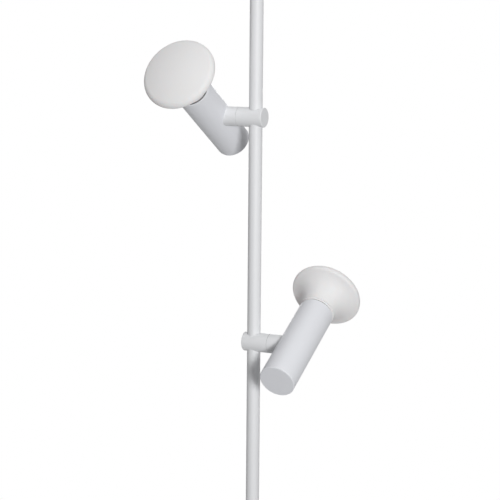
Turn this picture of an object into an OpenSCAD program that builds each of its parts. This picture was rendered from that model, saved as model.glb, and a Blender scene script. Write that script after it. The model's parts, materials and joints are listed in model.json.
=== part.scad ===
// Tension pole lamp: a slim pole braced between floor and ceiling, with two tubular
// spot heads. Each head hangs on a short cylinder that the pole passes through.
// Millimetres, +Z up. The origin is where the pole's axis meets the floor.

/* [Room and pole] */
// Height from the floor to the ceiling face of the upper pad
room_h = 2400; // [2330:10:2520]
// Outside diameter of the painted pole tube, also that of the spring sleeve
pole_d = 18; // [17:0.5:20]
// Wall of the pole tube and the spring sleeve
pole_wall = 1.2; // [1:0.1:1.4]
// Length of the lowest pole section
lower_pole_len = 924; // [860:2:960]
// Length of the middle pole section, which carries both heads
middle_pole_len = 800; // [780:2:830]
// Length of the top pole section
upper_pole_len = 360; // [340:2:370]

/* [Floor and ceiling plates] */
// Diameter of the foot and of the ceiling plate
plate_d = 70; // [60:1:90]
// Thickness of the plate at its rim
plate_t = 6; // [5:0.5:8]
// Rounding of the plate's outer edge
plate_edge_r = 1.5; // [0.5:0.5:2]
// Diameter of the hub that the pole butts against
hub_d = 24; // [22:1:30]
// Height of the plate and its hub together
hub_h = 14; // [13:0.5:18]
// Fillet between plate and hub
hub_fillet_r = 6; // [3:0.5:7]
// Length of the spigot that goes into the pole
spigot_len = 30; // [24:1:40]
// Diameter of the rubber pad
pad_d = 64; // [50:1:66]
// Thickness of the rubber pad
pad_t = 3; // [2:0.5:5]
// Depth of the recess that holds the pad
pad_recess = 1; // [0.5:0.1:1.5]

/* [Pole joints] */
// Length of the sleeve coupler inside each pole joint
coupler_len = 60; // [50:1:70]
// Diameter of the cable that climbs inside the pole
cable_d = 5; // [4:0.5:6]
// Diameter of the set screws
grub_d = 5; // [4:0.5:5]
// Length of the set screws
grub_len = 4; // [3.5:0.1:4.2]
// Width across the flats of their hexagon sockets
hex_af = 2.5; // [2:0.5:3]
// Depth of the sockets
hex_depth = 2; // [1:0.1:2.5]
// Height of the cable inlet above the floor
inlet_z = 80; // [75:1:200]
// Diameter of the hole for the mains cord
inlet_d = 6.2; // [5:0.1:6.4]
// Diameter of the inlet bush's flange
inlet_flange_d = 12; // [11:0.5:14]
// Thickness of the inlet bush's flange
inlet_flange_t = 1.5; // [1:0.1:2]

/* [Height adjustment] */
// Outside diameter of the extension tube
extension_d = 14; // [13.5:0.1:14.2]
// Wall of the extension tube
extension_wall = 1.2; // [1:0.1:1.5]
// Length of the extension tube
extension_len = 380; // [370:1:385]
// Height of the sliding head on each plug of the extension tube
slider_head_h = 10; // [8:0.5:12]
// Length of the plug inside the extension tube
slider_spigot_len = 16; // [12:1:20]
// Diameter of the pins that hold the plugs
slider_pin_d = 3; // [2:0.5:4]
// Length of the guide bushes inside the tubes
bush_len = 12; // [9:0.5:14]
// Thickness of the guide bushes' flanges
bush_flange_t = 1.5; // [1:0.1:2]
// Diameter of the locking collar
collar_d = 27; // [25.8:0.1:32]
// Length of the collar that grips the pole
collar_grip = 18; // [14:0.5:24]
// Height of the collar above the pole
collar_rise = 20; // [16:0.5:24]
// Diameter of the thumb screw's thread
thumb_d = 5; // [4:0.5:6]
// Diameter of the thumb screw's knob
knob_d = 15; // [12:0.5:20]
// Thickness of the knob
knob_t = 9; // [6:0.5:12]
// Number of grip flutes around the knob
knob_flutes = 18; // [12:1:24]

/* [Ceiling spring] */
// Spring wire diameter
wire_d = 1.8; // [1.4:0.1:2]
// Spring outside diameter
spring_d = 14.8; // [14:0.1:15]
// Number of turns
spring_turns = 13; // [9:1:16]
// Length of the spring with the lamp loose
spring_len = 70; // [64:1:80]
// Travel of the ceiling plate as the spring is squeezed
spring_travel = 30; // [15:1:32]

/* [Arms] */
// Height of the upper arm's axis
upper_arm_z = 1500; // [1420:2:1640]
// Height of the lower arm's axis
lower_arm_z = 1198; // [1050:2:1210]
// Compass direction of the upper arm, the lower one points the other way
arm_turn = 154.8; // [0:0.1:359]
// Diameter of the arm cylinder
arm_d = 26; // [25.5:0.1:28]
// Reach of the arm past the pole's axis at its free end
arm_free_end = 13; // [12.5:0.1:20]
// Distance from the pole's axis to the seam where the head swivels
arm_seam = 24; // [23:0.5:30]
// Rounding of the arm's free end
arm_edge_r = 1; // [0.5:0.1:1.5]
// Chamfer at each side of the seam
seam_chamfer = 0.4; // [0.2:0.1:0.8]
// Thickness of the glide rings between arm and pole
glide_t = 0.75; // [0.5:0.05:0.8]
// Height of each glide ring
glide_h = 2.2; // [1.5:0.1:2.3]
// How far an arm swings each way about the pole
arm_swing = 60; // [20:1:60]

/* [Swivel] */
// Diameter of the hollow tilt bolt
bolt_d = 10; // [9:0.5:11]
// Diameter of the bolt's cable bore
bolt_bore_d = 4.5; // [3.5:0.1:5]
// Diameter of the bolt's nose, which rides in the slot of the pole
nose_d = 7; // [6:0.1:7.2]
// Diameter of the lead inside the bolt
lead_d = 3.9; // [2.5:0.1:3.9]
// Width across the flats of the swivel nut
nut_af = 14; // [13:0.5:15]
// Height of the swivel nut
nut_h = 5; // [4:0.5:6]
// Thickness of the spring washer
washer_t = 0.8; // [0.6:0.1:1.2]
// Diameter of the spring washer and its saddle
washer_d = 18; // [17:0.5:20]
// Thickness of the saddle at its middle
saddle_t = 4; // [3.5:0.1:5]
// Diameter of the tilt stop pin
stop_pin_d = 3; // [2:0.5:3]
// Distance of the stop pin from the arm's axis
stop_pin_r = 8.5; // [8:0.1:9.5]
// Length of the stop pin
stop_pin_len = 6; // [5:0.5:8]
// How far the stop pin stands out of the arm's face
stop_pin_out = 2.5; // [1.5:0.1:3]
// How far a head tilts each way from where it is drawn
tilt_swing = 160; // [90:1:160]

/* [Heads] */
// Tilt of the upper head from straight up
upper_tilt = 58.5; // [0:0.5:90]
// Tilt of the lower head from straight up
lower_tilt = 61.5; // [0:0.5:90]
// Distance from the pole's axis to the head tube's axis
head_offset = 63.6; // [62:0.1:80]
// Diameter of the head tube
head_d = 48; // [46.5:0.5:52]
// Wall of the head tube
head_wall = 1.5; // [1.2:0.1:2]
// Reach of the head tube behind the arm's axis
head_back = 72.5; // [70:0.5:100]
// Reach of the head tube in front of the arm's axis
head_front = 71.5; // [71:0.5:100]
// Bevel of the head tube's closed end
head_bevel = 0.8; // [0.3:0.1:1]
// Thickness of the end cap
cap_t = 2; // [1.5:0.1:3]
// Depth of the end cap's skirt
cap_skirt = 8; // [6:0.5:10]

/* [Light source] */
// Length of the driver's case
driver_len = 42; // [30:1:44]
// Width of the driver's case across its flats
driver_w = 34; // [30:1:38]
// Thickness of the heat sink's front plate
sink_plate_t = 6; // [4:0.5:8]
// Length of the heat sink's fins
sink_fin_len = 34; // [20:1:36]
// Number of fins
sink_fins = 14; // [8:2:18]
// Thickness of each fin
sink_fin_t = 1.4; // [1:0.1:2]
// Diameter of the heat sink's core
sink_core_d = 16; // [12:0.5:20]
// Diameter of the LED board
board_d = 39; // [38:0.1:39]
// Thickness of the LED board
board_t = 1.6; // [1:0.1:2]
// Width of each LED
led_w = 3; // [2:0.1:3.5]
// Height of each LED
led_h = 0.8; // [0.5:0.1:1]
// Number of LEDs in the ring
led_count = 8; // [4:1:9]
// Radius of the ring of LEDs
led_ring_r = 9.3; // [8:0.1:9.5]
// Diameter of the board screws
board_screw_d = 3; // [2:0.5:3]
// Radius at which the board screws sit
board_screw_r = 16.8; // [16.6:0.1:16.9]
// Length of the board screws below their heads
board_screw_len = 6; // [4:0.5:7]

/* [Diffuser] */
// Diameter of the diffuser
shade_d = 98; // [90:1:104]
// Distance from the tube's rim to the diffuser's widest plane
shade_depth = 39.8; // [34:0.1:46]
// Rounding of the diffuser's rim at its front
shade_edge_r = 8.2; // [6:0.1:9]
// Rounding of the diffuser's rim at its back
shade_lip_r = 4; // [3:0.1:6]
// Rise of the front face from its rounded rim to its middle
crown_h = 6; // [3:0.5:10]
// Height of the shadow gap between the tube's rim and the diffuser's neck
neck_gap = 4.5; // [2:0.1:6]
// Height of the straight band where the diffuser's neck begins
neck_band = 1; // [0.8:0.1:4]
// Wall of the diffuser
shade_wall = 2; // [1.5:0.1:2.5]
// Length of the diffuser's spigot inside the tube
shade_spigot = 18; // [16:0.5:20]
// Thickness of the silicone ring round the spigot
seal_d = 1.2; // [1:0.1:1.4]

/* [Fits] */
// Radial clearance of running fits
run_gap = 0.05; // [0.03:0.01:0.1]
// Clearance between pieces that only pass each other
free_gap = 0.3; // [0.2:0.05:0.4]
// Clearance of a piece from the seat that carries it
seat_gap = 0.2; // [0.1:0.05:0.3]

/* [Hidden] */
$fn = 96;
cut = 1;                 // how far a cutting form runs past what it cuts

paint = [0.86, 0.87, 0.88];
opal = [0.93, 0.92, 0.91];
rubber = [0.16, 0.16, 0.17];
nylon = [0.90, 0.90, 0.86];
steel = [0.62, 0.63, 0.65];
brass = [0.78, 0.66, 0.38];
alloy = [0.72, 0.73, 0.75];

// The two arms, upper first
UPPER = 0;
LOWER = 1;
arm_z = [upper_arm_z, lower_arm_z];
arm_dir = [arm_turn, arm_turn + 180];
head_tilt = [upper_tilt, lower_tilt];

// Pole
pole_r = pole_d / 2;
bore_r = pole_r - pole_wall;
plate_z = pad_t - pad_recess;
lower_z = plate_z + hub_h;
middle_z = lower_z + lower_pole_len;
upper_z = middle_z + middle_pole_len;
pole_top = upper_z + upper_pole_len;
joint_z = [middle_z, upper_z];
grub_r = grub_d / 2;
grub_tip = pole_r - run_gap - grub_len;
grub_inset = coupler_len / 3;
spigot_grub = spigot_len / 2;
cable_r = cable_d / 2;

// Inlet bush
inlet_neck_r = inlet_d / 2 + 1.4;
inlet_lip = 0.8;

// Height adjustment
ext_r = extension_d / 2;
ext_bore_r = ext_r - extension_wall;
slider_r = bore_r - run_gap;
bush_bore_r = ext_r + run_gap;
collar_r = collar_d / 2;
thumb_r = thumb_d / 2;
thumb_z = pole_top + bush_flange_t + (collar_rise - bush_flange_t) / 2;
thumb_tip = ext_r + free_gap / 2;
knob_gap = 1.2;
flute_r = knob_d / 24;

// Ceiling end, worked out downwards from the ceiling
sleeve_top = room_h - plate_z - hub_h;
spring_top = sleeve_top - spigot_len - seat_gap;
spring_bottom = spring_top - spring_len;
ext_top = spring_bottom - seat_gap - slider_head_h;
sleeve_bottom = ext_top - seat_gap - bush_len;
ext_bottom = ext_top - extension_len;
spring_r = (spring_d - wire_d) / 2;
nub_r = spring_r - wire_d / 2 - free_gap;
nub_h = 4;

// Arms
arm_r = arm_d / 2;
arm_bore_r = pole_r + free_gap;
glide_z = bolt_d / 2 + free_gap;
glide_in = pole_r + run_gap;
glide_out = glide_in + glide_t;
bolt_r = bolt_d / 2;
nose_r = nose_d / 2;
nose_tip = bore_r - 0.8;
bolt_shoulder = pole_r + 2 * free_gap;
slot_r = nose_r + run_gap;
slot_swing = arm_swing;

// Swivel stack, in distances from the head tube's axis towards the pole
head_r = head_d / 2;
head_bore_r = head_r - head_wall;
saddle_face = head_bore_r - run_gap - saddle_t;
washer_face = saddle_face - run_gap;
nut_face = washer_face - washer_t - run_gap;
bolt_end = nut_face - nut_h - 1;
lead_end = bolt_end - 2.5;
stub_start = arm_seam + 0.1;
groove_depth = stop_pin_out + 0.5;

// Inside the head, in distances along its tube from the arm's axis
cap_inner = -head_back + cap_t + cap_skirt;
driver_z = cap_inner + seat_gap;
spigot_or = head_bore_r - free_gap;
spigot_ir = spigot_or - 2.4;
sink_front = head_front - shade_spigot - seat_gap;
sink_z = sink_front - sink_plate_t;
board_z = sink_front + run_gap;
board_top = board_z + board_t;
reflector_z = board_top + seat_gap;
reflector_top = head_front - 1.5;
reflector_t = 1;
reflector_foot_r = 12.8;
seal_depth = 4.5;
rim_bevel = head_wall / 5;

// Diffuser outline: a straight neck, a hollow flare, a round rim and a shallow crown,
// each arc tangent to the next
neck_top = neck_gap + neck_band;
lip_x = shade_d / 2 - shade_lip_r;
flare_run = lip_x - head_r;
flare_rise = shade_depth - neck_top;
flare_r = (pow(flare_run, 2) + pow(flare_rise, 2) - pow(shade_lip_r, 2))
    / (shade_d - head_d);
crown_top = shade_depth + shade_edge_r + crown_h;
rim_r = shade_d / 2 - shade_edge_r;
crown_r = (pow(rim_r, 2) + pow(shade_edge_r + crown_h, 2) - pow(shade_edge_r, 2))
    / (2 * crown_h);

// ---- placing ----

// Arm frame: origin on the pole's axis, +X out along the arm
module on_arm(i) translate([0, 0, arm_z[i]]) rotate([0, 0, arm_dir[i]]) children();

// The same frame leaned with the head
module on_head(i) on_arm(i) rotate([-head_tilt[i], 0, 0]) children();

// Head frame: +Z along the head tube, towards the diffuser
module in_head(i) on_head(i) translate([head_offset, 0, 0]) children();

// Turns a shape built along +Z to lie along +X
module along_x() rotate([0, 90, 0]) children();

// Turns a shape built along +Z to lie along +Y, towards the wall
module along_y() rotate([-90, 0, 0]) children();

module tube_shape(r, wall, len) {
    difference() {
        cylinder(r = r, h = len);
        translate([0, 0, -cut]) cylinder(r = r - wall, h = len + 2 * cut);
    }
}

// ---- pole ----

// Slot in which the nose of a tilt bolt swings: a ring sector with round ends
module swing_slot() {
    half_h = slot_r - run_gap / 2;
    for (turn = [-slot_swing, slot_swing])
        rotate([0, 0, turn])
            translate([bore_r - cut, 0, 0])
                along_x() cylinder(r = slot_r, h = pole_wall + 2 * cut);
    rotate([0, 0, -slot_swing])
        rotate_extrude(angle = 2 * slot_swing)
            translate([bore_r - cut, -half_h])
                square([pole_wall + 2 * cut, 2 * half_h]);
}

// Set screw hole from the back of the pole at height z
module grub_hole(z) {
    translate([0, grub_tip - run_gap, z])
        along_y() cylinder(r = grub_r, h = grub_len + cut);
}

module grub_screw() {
    difference() {
        cylinder(r = grub_r - run_gap, h = grub_len);
        translate([0, 0, grub_len - hex_depth])
            cylinder(r = hex_af / 2 / cos(30), h = hex_depth + cut, $fn = 6);
    }
}

module set_screw(z, tip = grub_tip) {
    translate([0, tip, z]) along_y() grub_screw();
}

// One pole section from z0, with every hole that falls on it
module pole_section(z0, len) {
    difference() {
        translate([0, 0, z0]) tube_shape(pole_r, pole_wall, len);
        for (i = [UPPER, LOWER]) on_arm(i) swing_slot();
        grub_hole(lower_z + spigot_grub);
        for (z = joint_z)
            for (side = [-1, 1])
                grub_hole(z + side * grub_inset);
        translate([0, 0, inlet_z])
            along_y() cylinder(r = inlet_neck_r + run_gap, h = pole_r + cut);
    }
}

module lower_pole() color(paint) pole_section(lower_z, lower_pole_len);
module middle_pole() color(paint) pole_section(middle_z, middle_pole_len);
module upper_pole() color(paint) pole_section(upper_z, upper_pole_len);

module pole_couplers() {
    color(steel)
        for (z = joint_z)
            difference() {
                translate([0, 0, z - coupler_len / 2])
                    cylinder(r = slider_r, h = coupler_len);
                translate([0, 0, z - coupler_len / 2 - cut])
                    cylinder(r = cable_r + free_gap, h = coupler_len + 2 * cut);
                for (side = [-1, 1])
                    grub_hole(z + side * grub_inset);
            }
}

module set_screws() {
    color(steel) {
        set_screw(lower_z + spigot_grub);
        for (z = joint_z)
            for (side = [-1, 1])
                set_screw(z + side * grub_inset);
        set_screw(pole_top - collar_grip / 2, pole_r + run_gap);
    }
}

// Plate with a hub and a spigot, lying on z = 0 with the hub upwards
module plate_shape() {
    difference() {
        rotate_extrude() {
            difference() {
                union() {
                    square([plate_d / 2, plate_t - plate_edge_r]);
                    square([plate_d / 2 - plate_edge_r, plate_t]);
                    translate([plate_d / 2 - plate_edge_r, plate_t - plate_edge_r])
                        circle(r = plate_edge_r);
                    square([hub_d / 2, hub_h]);
                    difference() {
                        square([hub_d / 2 + hub_fillet_r, plate_t + hub_fillet_r]);
                        translate([hub_d / 2 + hub_fillet_r, plate_t + hub_fillet_r])
                            circle(r = hub_fillet_r);
                    }
                    square([slider_r, hub_h + spigot_len]);
                }
                translate([0, -cut])
                    square([pad_d / 2 + seat_gap, pad_recess + cut]);
            }
        }
        translate([0, grub_tip - run_gap, hub_h + spigot_grub])
            along_y() cylinder(r = grub_r, h = grub_len + cut);
    }
}

module foot() color(paint) translate([0, 0, plate_z]) plate_shape();
module floor_pad() color(rubber) cylinder(r = pad_d / 2, h = pad_t);

// Bush that lines the hole for the mains cord: outer flange, neck and inner lip
module cable_inlet() {
    inner_end = bore_r - inlet_lip - 2;
    color(nylon)
        translate([0, 0, inlet_z])
            difference() {
                union() {
                    difference() {
                        along_y() cylinder(r = inlet_flange_d / 2, h = pole_r + inlet_flange_t);
                        cylinder(r = pole_r + run_gap, h = 2 * plate_d, center = true);
                    }
                    intersection() {
                        translate([0, inner_end, 0])
                            along_y() cylinder(r = inlet_neck_r, h = pole_r - inner_end);
                        cylinder(r = pole_r + inlet_flange_t / 2, h = plate_d, center = true);
                    }
                    intersection() {
                        translate([0, inner_end, 0])
                            along_y() cylinder(r = inlet_neck_r + inlet_lip, h = pole_r);
                        cylinder(r = bore_r - run_gap, h = plate_d, center = true);
                    }
                }
                along_y() cylinder(r = inlet_d / 2, h = pole_r + inlet_flange_t + cut);
            }
}

// Cable from the splice above the inlet up to the upper arm
module pole_cable() {
    splice_z = inlet_z + 20;
    splice_len = 24;
    color(rubber) {
        translate([0, 0, splice_z])
            cylinder(r = cable_r, h = upper_arm_z - 2 * nose_d - splice_z);
        translate([0, 0, splice_z]) cylinder(r = slider_r - free_gap, h = splice_len);
    }
}

// ---- height adjustment ----

// Flanged bush, flange at the bottom from z = 0, body upwards
module guide_bush() {
    difference() {
        union() {
            cylinder(r = pole_r, h = bush_flange_t);
            cylinder(r = slider_r, h = bush_flange_t + bush_len);
        }
        translate([0, 0, -cut])
            cylinder(r = bush_bore_r, h = bush_flange_t + bush_len + 2 * cut);
    }
}

module pole_bush() {
    color(nylon)
        translate([0, 0, pole_top + bush_flange_t]) mirror([0, 0, 1]) guide_bush();
}

module lock_collar() {
    grip_z = pole_top - collar_grip;
    edge_r = 1;
    color(paint)
        difference() {
            translate([0, 0, grip_z])
                rotate_extrude() {
                    square([collar_r - edge_r, collar_grip + collar_rise]);
                    translate([0, edge_r])
                        square([collar_r, collar_grip + collar_rise - 2 * edge_r]);
                    for (z = [edge_r, collar_grip + collar_rise - edge_r])
                        translate([collar_r - edge_r, z]) circle(r = edge_r);
                }
            translate([0, 0, grip_z - cut])
                cylinder(r = pole_r + run_gap, h = collar_grip + cut + bush_flange_t + run_gap);
            translate([0, 0, grip_z])
                cylinder(r = ext_r + free_gap, h = collar_grip + collar_rise + cut);
            translate([0, 0, thumb_z])
                along_x() cylinder(r = thumb_r + run_gap, h = collar_r + cut);
            translate([0, 0, pole_top - collar_grip / 2])
                along_y() cylinder(r = grub_r, h = collar_r + cut);
        }
}

// Screw that presses on the extension tube, with a fluted knob
module thumb_screw() {
    color(steel)
        translate([thumb_tip, 0, thumb_z])
            along_x() {
                cylinder(r = thumb_r, h = collar_r + knob_gap - thumb_tip + cut);
                translate([0, 0, collar_r + knob_gap - thumb_tip])
                    linear_extrude(height = knob_t)
                        difference() {
                            circle(r = knob_d / 2);
                            for (k = [0 : knob_flutes - 1])
                                rotate(k * 360 / knob_flutes)
                                    translate([knob_d / 2, 0]) circle(r = flute_r);
                        }
            }
}

module extension_tube() {
    color(paint)
        difference() {
            translate([0, 0, ext_bottom]) tube_shape(ext_r, extension_wall, extension_len);
            for (z = [ext_bottom + slider_spigot_len / 2, ext_top - slider_spigot_len / 2])
                translate([0, -ext_r - cut, z])
                    along_y() cylinder(r = slider_pin_d / 2 + run_gap, h = extension_d + 2 * cut);
        }
}

// Plug with a sliding head; its spigot goes down into the tube from z = 0
module slider_plug() {
    difference() {
        union() {
            cylinder(r = slider_r, h = slider_head_h);
            cylinder(r = nub_r, h = slider_head_h + nub_h);
            translate([0, 0, -slider_spigot_len])
                cylinder(r = ext_bore_r - run_gap, h = slider_spigot_len + cut);
        }
        translate([0, -ext_r, -slider_spigot_len / 2])
            along_y() cylinder(r = slider_pin_d / 2 + run_gap, h = extension_d);
    }
}

module slider_plugs() {
    color(nylon) {
        translate([0, 0, ext_top]) slider_plug();
        translate([0, 0, ext_bottom]) mirror([0, 0, 1]) slider_plug();
    }
}

module slider_pins() {
    color(steel)
        for (z = [ext_bottom + slider_spigot_len / 2, ext_top - slider_spigot_len / 2])
            translate([0, -ext_r + free_gap, z])
                along_y() cylinder(r = slider_pin_d / 2, h = extension_d - 2 * free_gap);
}

// ---- ceiling end ----

module spring_sleeve() {
    color(paint)
        difference() {
            translate([0, 0, sleeve_bottom])
                tube_shape(pole_r, pole_wall, sleeve_top - sleeve_bottom);
            grub_hole(sleeve_top - spigot_grub);
        }
}

module sleeve_bush() {
    color(nylon) translate([0, 0, sleeve_bottom - bush_flange_t]) guide_bush();
}

module ceiling_plate() {
    color(paint) translate([0, 0, room_h - plate_z]) mirror([0, 0, 1]) plate_shape();
}

module plate_screw() color(steel) set_screw(sleeve_top - spigot_grub);

module ceiling_pad() {
    color(rubber) translate([0, 0, room_h - pad_t]) cylinder(r = pad_d / 2, h = pad_t);
}

// Coil spring: one closed turn at each end and an even pitch between
ring_sides = 6;
turn_rings = 8;
rise_between = wire_d + 0.6;
wound = spring_len - wire_d;
steps = spring_turns * turn_rings;
active = spring_turns - 2;
pitch = (wound - 2 * rise_between) / active;
function rise(t) = t < 1 ? t * rise_between
    : t > spring_turns - 1 ? wound - (spring_turns - t) * rise_between
    : rise_between + (t - 1) * pitch;
function ring_point(k, j) =
    let (t = k / turn_rings, a = 360 * t, b = 360 * j / ring_sides,
        r = spring_r + wire_d / 2 * cos(b))
    [r * cos(a), r * sin(a), wire_d / 2 + rise(t) + wire_d / 2 * sin(b)];
least_gap = min(rise_between, pitch) - wire_d;
echo(least_gap_between_turns = least_gap);

module spring() {
    points = [for (k = [0 : steps]) for (j = [0 : ring_sides - 1]) ring_point(k, j)];
    sides = [for (k = [0 : steps - 1]) for (j = [0 : ring_sides - 1]) for (half = [0, 1])
        let (a = k * ring_sides + j, b = k * ring_sides + (j + 1) % ring_sides,
            c = a + ring_sides, d = b + ring_sides)
        half == 0 ? [a, c, b] : [b, c, d]];
    start = [for (j = [0 : ring_sides - 1]) j];
    end = [for (j = [ring_sides - 1 : -1 : 0]) steps * ring_sides + j];
    color(steel)
        translate([0, 0, spring_bottom])
            polyhedron(points = points, faces = concat(sides, [start, end]));
}

// ---- arms ----

// Cylinder that the pole passes through, closed and rounded at its free end
module arm_shape() {
    len = arm_free_end + arm_seam;
    difference() {
        translate([-arm_free_end, 0, 0]) along_x()
            rotate_extrude() {
                polygon([[0, 0], [arm_r - arm_edge_r, 0], [arm_r - arm_edge_r, arm_edge_r],
                    [arm_r, arm_edge_r], [arm_r, len - seam_chamfer],
                    [arm_r - seam_chamfer, len], [0, len]]);
                translate([arm_r - arm_edge_r, arm_edge_r]) circle(r = arm_edge_r);
            }
        cylinder(r = arm_bore_r, h = 2 * arm_d, center = true);
        for (side = [0, 1]) mirror([0, 0, side])
            translate([0, 0, glide_z])
                cylinder(r = glide_out + run_gap, h = glide_h);
        along_x() cylinder(r = bolt_r + run_gap, h = arm_seam + cut);
        translate([arm_seam + stop_pin_out - stop_pin_len - run_gap, 0, stop_pin_r])
            along_x() cylinder(r = stop_pin_d / 2 + run_gap, h = stop_pin_len);
    }
}

module glide_rings_shape() {
    for (side = [0, 1]) mirror([0, 0, side])
        translate([0, 0, glide_z + run_gap])
            difference() {
                cylinder(r = glide_out, h = glide_h - 2 * run_gap);
                translate([0, 0, -cut]) cylinder(r = glide_in, h = glide_h + 2 * cut);
            }
}

// Hollow bolt: its nose rides in the pole's slot, its thread carries head and nut
module tilt_bolt_shape() {
    difference() {
        union() {
            translate([nose_tip, 0, 0])
                along_x() cylinder(r = nose_r, h = bolt_shoulder - nose_tip + cut);
            translate([bolt_shoulder, 0, 0])
                along_x() cylinder(r = bolt_r, h = head_offset - bolt_end - bolt_shoulder);
        }
        along_x() cylinder(r = bolt_bore_d / 2, h = head_offset);
    }
}

// Slightly dished washer
module spring_washer_shape() {
    dish = washer_t / 4;
    translate([head_offset - washer_face, 0, 0]) along_x()
        rotate_extrude()
            polygon([[bolt_r + 2 * run_gap, dish], [washer_d / 2, 0],
                [washer_d / 2, washer_t - dish], [bolt_r + 2 * run_gap, washer_t]]);
}

module swivel_nut_shape() {
    translate([head_offset - nut_face, 0, 0]) along_x()
        difference() {
            intersection() {
                cylinder(r = nut_af / 2 / cos(30), h = nut_h, $fn = 6);
                rotate_extrude()
                    polygon([[0, 0], [nut_af / 2, 0], [nut_af / 2 / cos(30), 0.6],
                        [nut_af / 2 / cos(30), nut_h - 0.6], [nut_af / 2, nut_h], [0, nut_h]]);
            }
            translate([0, 0, -cut]) cylinder(r = bolt_r + run_gap, h = nut_h + 2 * cut);
        }
}

module stop_pin_shape() {
    translate([arm_seam + stop_pin_out - stop_pin_len, 0, stop_pin_r])
        along_x() cylinder(r = stop_pin_d / 2, h = stop_pin_len);
}

// Lead from inside the pole, through the bolt, into the head
module lead_shape() {
    translate([cable_r + 2 * free_gap, 0, 0])
        along_x() cylinder(r = lead_d / 2, h = head_offset - lead_end - cable_r - 2 * free_gap);
}

module upper_arm() color(paint) on_arm(UPPER) arm_shape();
module upper_glide_rings() color(nylon) on_arm(UPPER) glide_rings_shape();
module upper_tilt_bolt() color(brass) on_arm(UPPER) tilt_bolt_shape();
module upper_spring_washer() color(steel) on_arm(UPPER) spring_washer_shape();
module upper_swivel_nut() color(brass) on_arm(UPPER) swivel_nut_shape();
module upper_stop_pin() color(steel) on_arm(UPPER) stop_pin_shape();
module upper_lead() color(nylon) on_arm(UPPER) lead_shape();

module lower_arm() color(paint) on_arm(LOWER) arm_shape();
module lower_glide_rings() color(nylon) on_arm(LOWER) glide_rings_shape();
module lower_tilt_bolt() color(brass) on_arm(LOWER) tilt_bolt_shape();
module lower_spring_washer() color(steel) on_arm(LOWER) spring_washer_shape();
module lower_swivel_nut() color(brass) on_arm(LOWER) swivel_nut_shape();
module lower_stop_pin() color(steel) on_arm(LOWER) stop_pin_shape();
module lower_lead() color(nylon) on_arm(LOWER) lead_shape();

// ---- heads ----

// Ring sector that lets the stop pin run, centred on local -X, sunk from z = 0
module stop_groove() {
    half_w = stop_pin_d / 2 + run_gap;
    translate([0, 0, -cut]) {
        rotate([0, 0, 180 - tilt_swing])
            rotate_extrude(angle = 2 * tilt_swing)
                translate([stop_pin_r - half_w, 0])
                    square([2 * half_w, groove_depth + cut]);
        for (turn = [-tilt_swing, tilt_swing])
            rotate([0, 0, 180 + turn])
                translate([stop_pin_r, 0, 0])
                    cylinder(r = half_w, h = groove_depth + cut);
    }
}

// Stub between the seam and the head tube, coped to the tube's side
module stub_shape(i) {
    len = head_offset - stub_start;
    difference() {
        translate([stub_start, 0, 0]) along_x()
            rotate_extrude()
                polygon([[bolt_r + run_gap, 0], [arm_r - seam_chamfer, 0],
                    [arm_r, seam_chamfer], [arm_r, len], [bolt_r + run_gap, len]]);
        translate([head_offset, 0, 0])
            cylinder(r = head_r + run_gap, h = 4 * arm_d, center = true);
        rotate([head_tilt[i], 0, 0])
            translate([stub_start, 0, 0]) along_x() stop_groove();
    }
}

module head_tube_shape() {
    difference() {
        rotate_extrude()
            polygon([[head_bore_r, -head_back], [head_r - head_bevel, -head_back],
                [head_r, -head_back + head_bevel], [head_r, head_front - rim_bevel],
                [head_r - rim_bevel, head_front], [head_bore_r, head_front]]);
        rotate([0, -90, 0]) cylinder(r = bolt_r + free_gap, h = head_r + cut);
    }
}

// Block between the tube's round wall and the flat swivel washer
module saddle_shape() {
    difference() {
        intersection() {
            rotate([0, -90, 0]) translate([0, 0, saddle_face])
                cylinder(r = washer_d / 2, h = head_r);
            cylinder(r = head_bore_r - run_gap, h = 2 * washer_d, center = true);
        }
        rotate([0, -90, 0]) cylinder(r = bolt_r + run_gap, h = head_r + cut);
    }
}

module end_cap_shape() {
    skirt_wall = 1.6;
    translate([0, 0, -head_back])
        difference() {
            cylinder(r = head_bore_r - run_gap, h = cap_t + cap_skirt);
            translate([0, 0, cap_t])
                cylinder(r = head_bore_r - run_gap - skirt_wall, h = cap_skirt + cut);
        }
}

// Round case with two flats, and a terminal block on its inner end
module driver_shape() {
    terminals = [12, 16, 6];
    intersection() {
        translate([0, 0, driver_z]) cylinder(r = spigot_or, h = driver_len);
        translate([-head_r, -driver_w / 2, -head_back]) cube([head_d, driver_w, head_back]);
    }
    translate([2, -terminals.y / 2, driver_z + driver_len - cut])
        cube(terminals + [0, 0, cut]);
}

// Bores for the two board screws and the wires, from z0 upwards
module board_bores(z0, len) {
    for (side = [-1, 1])
        translate([side * board_screw_r, 0, z0])
            cylinder(r = board_screw_d / 2 + run_gap, h = len);
    rotate([0, 0, floor(sink_fins / 4) * 360 / sink_fins])
        translate([board_screw_r, 0, z0]) cylinder(r = board_screw_d / 2 + free_gap, h = len);
}

module heat_sink_shape() {
    difference() {
        union() {
            translate([0, 0, sink_z]) cylinder(r = head_bore_r - run_gap, h = sink_plate_t);
            translate([0, 0, sink_z - sink_fin_len])
                linear_extrude(sink_fin_len + cut) {
                    circle(r = sink_core_d / 2);
                    for (k = [0 : sink_fins - 1])
                        rotate([0, 0, (k + 0.5) * 360 / sink_fins])
                            translate([0, -sink_fin_t / 2]) square([spigot_or, sink_fin_t]);
                }
        }
        board_bores(sink_z - free_gap, sink_plate_t + free_gap + cut);
    }
}

module led_board_shape() {
    difference() {
        translate([0, 0, board_z]) cylinder(r = board_d / 2, h = board_t);
        board_bores(board_z - cut, board_t + 2 * cut);
    }
}

module led() {
    translate([0, 0, board_top + led_h / 2]) cube([led_w, led_w, led_h], center = true);
}

// One LED in the middle and a ring round it
module leds_shape() {
    led();
    for (k = [0 : led_count - 1])
        rotate([0, 0, k * 360 / led_count])
            translate([led_ring_r, 0, 0]) led();
}

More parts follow.
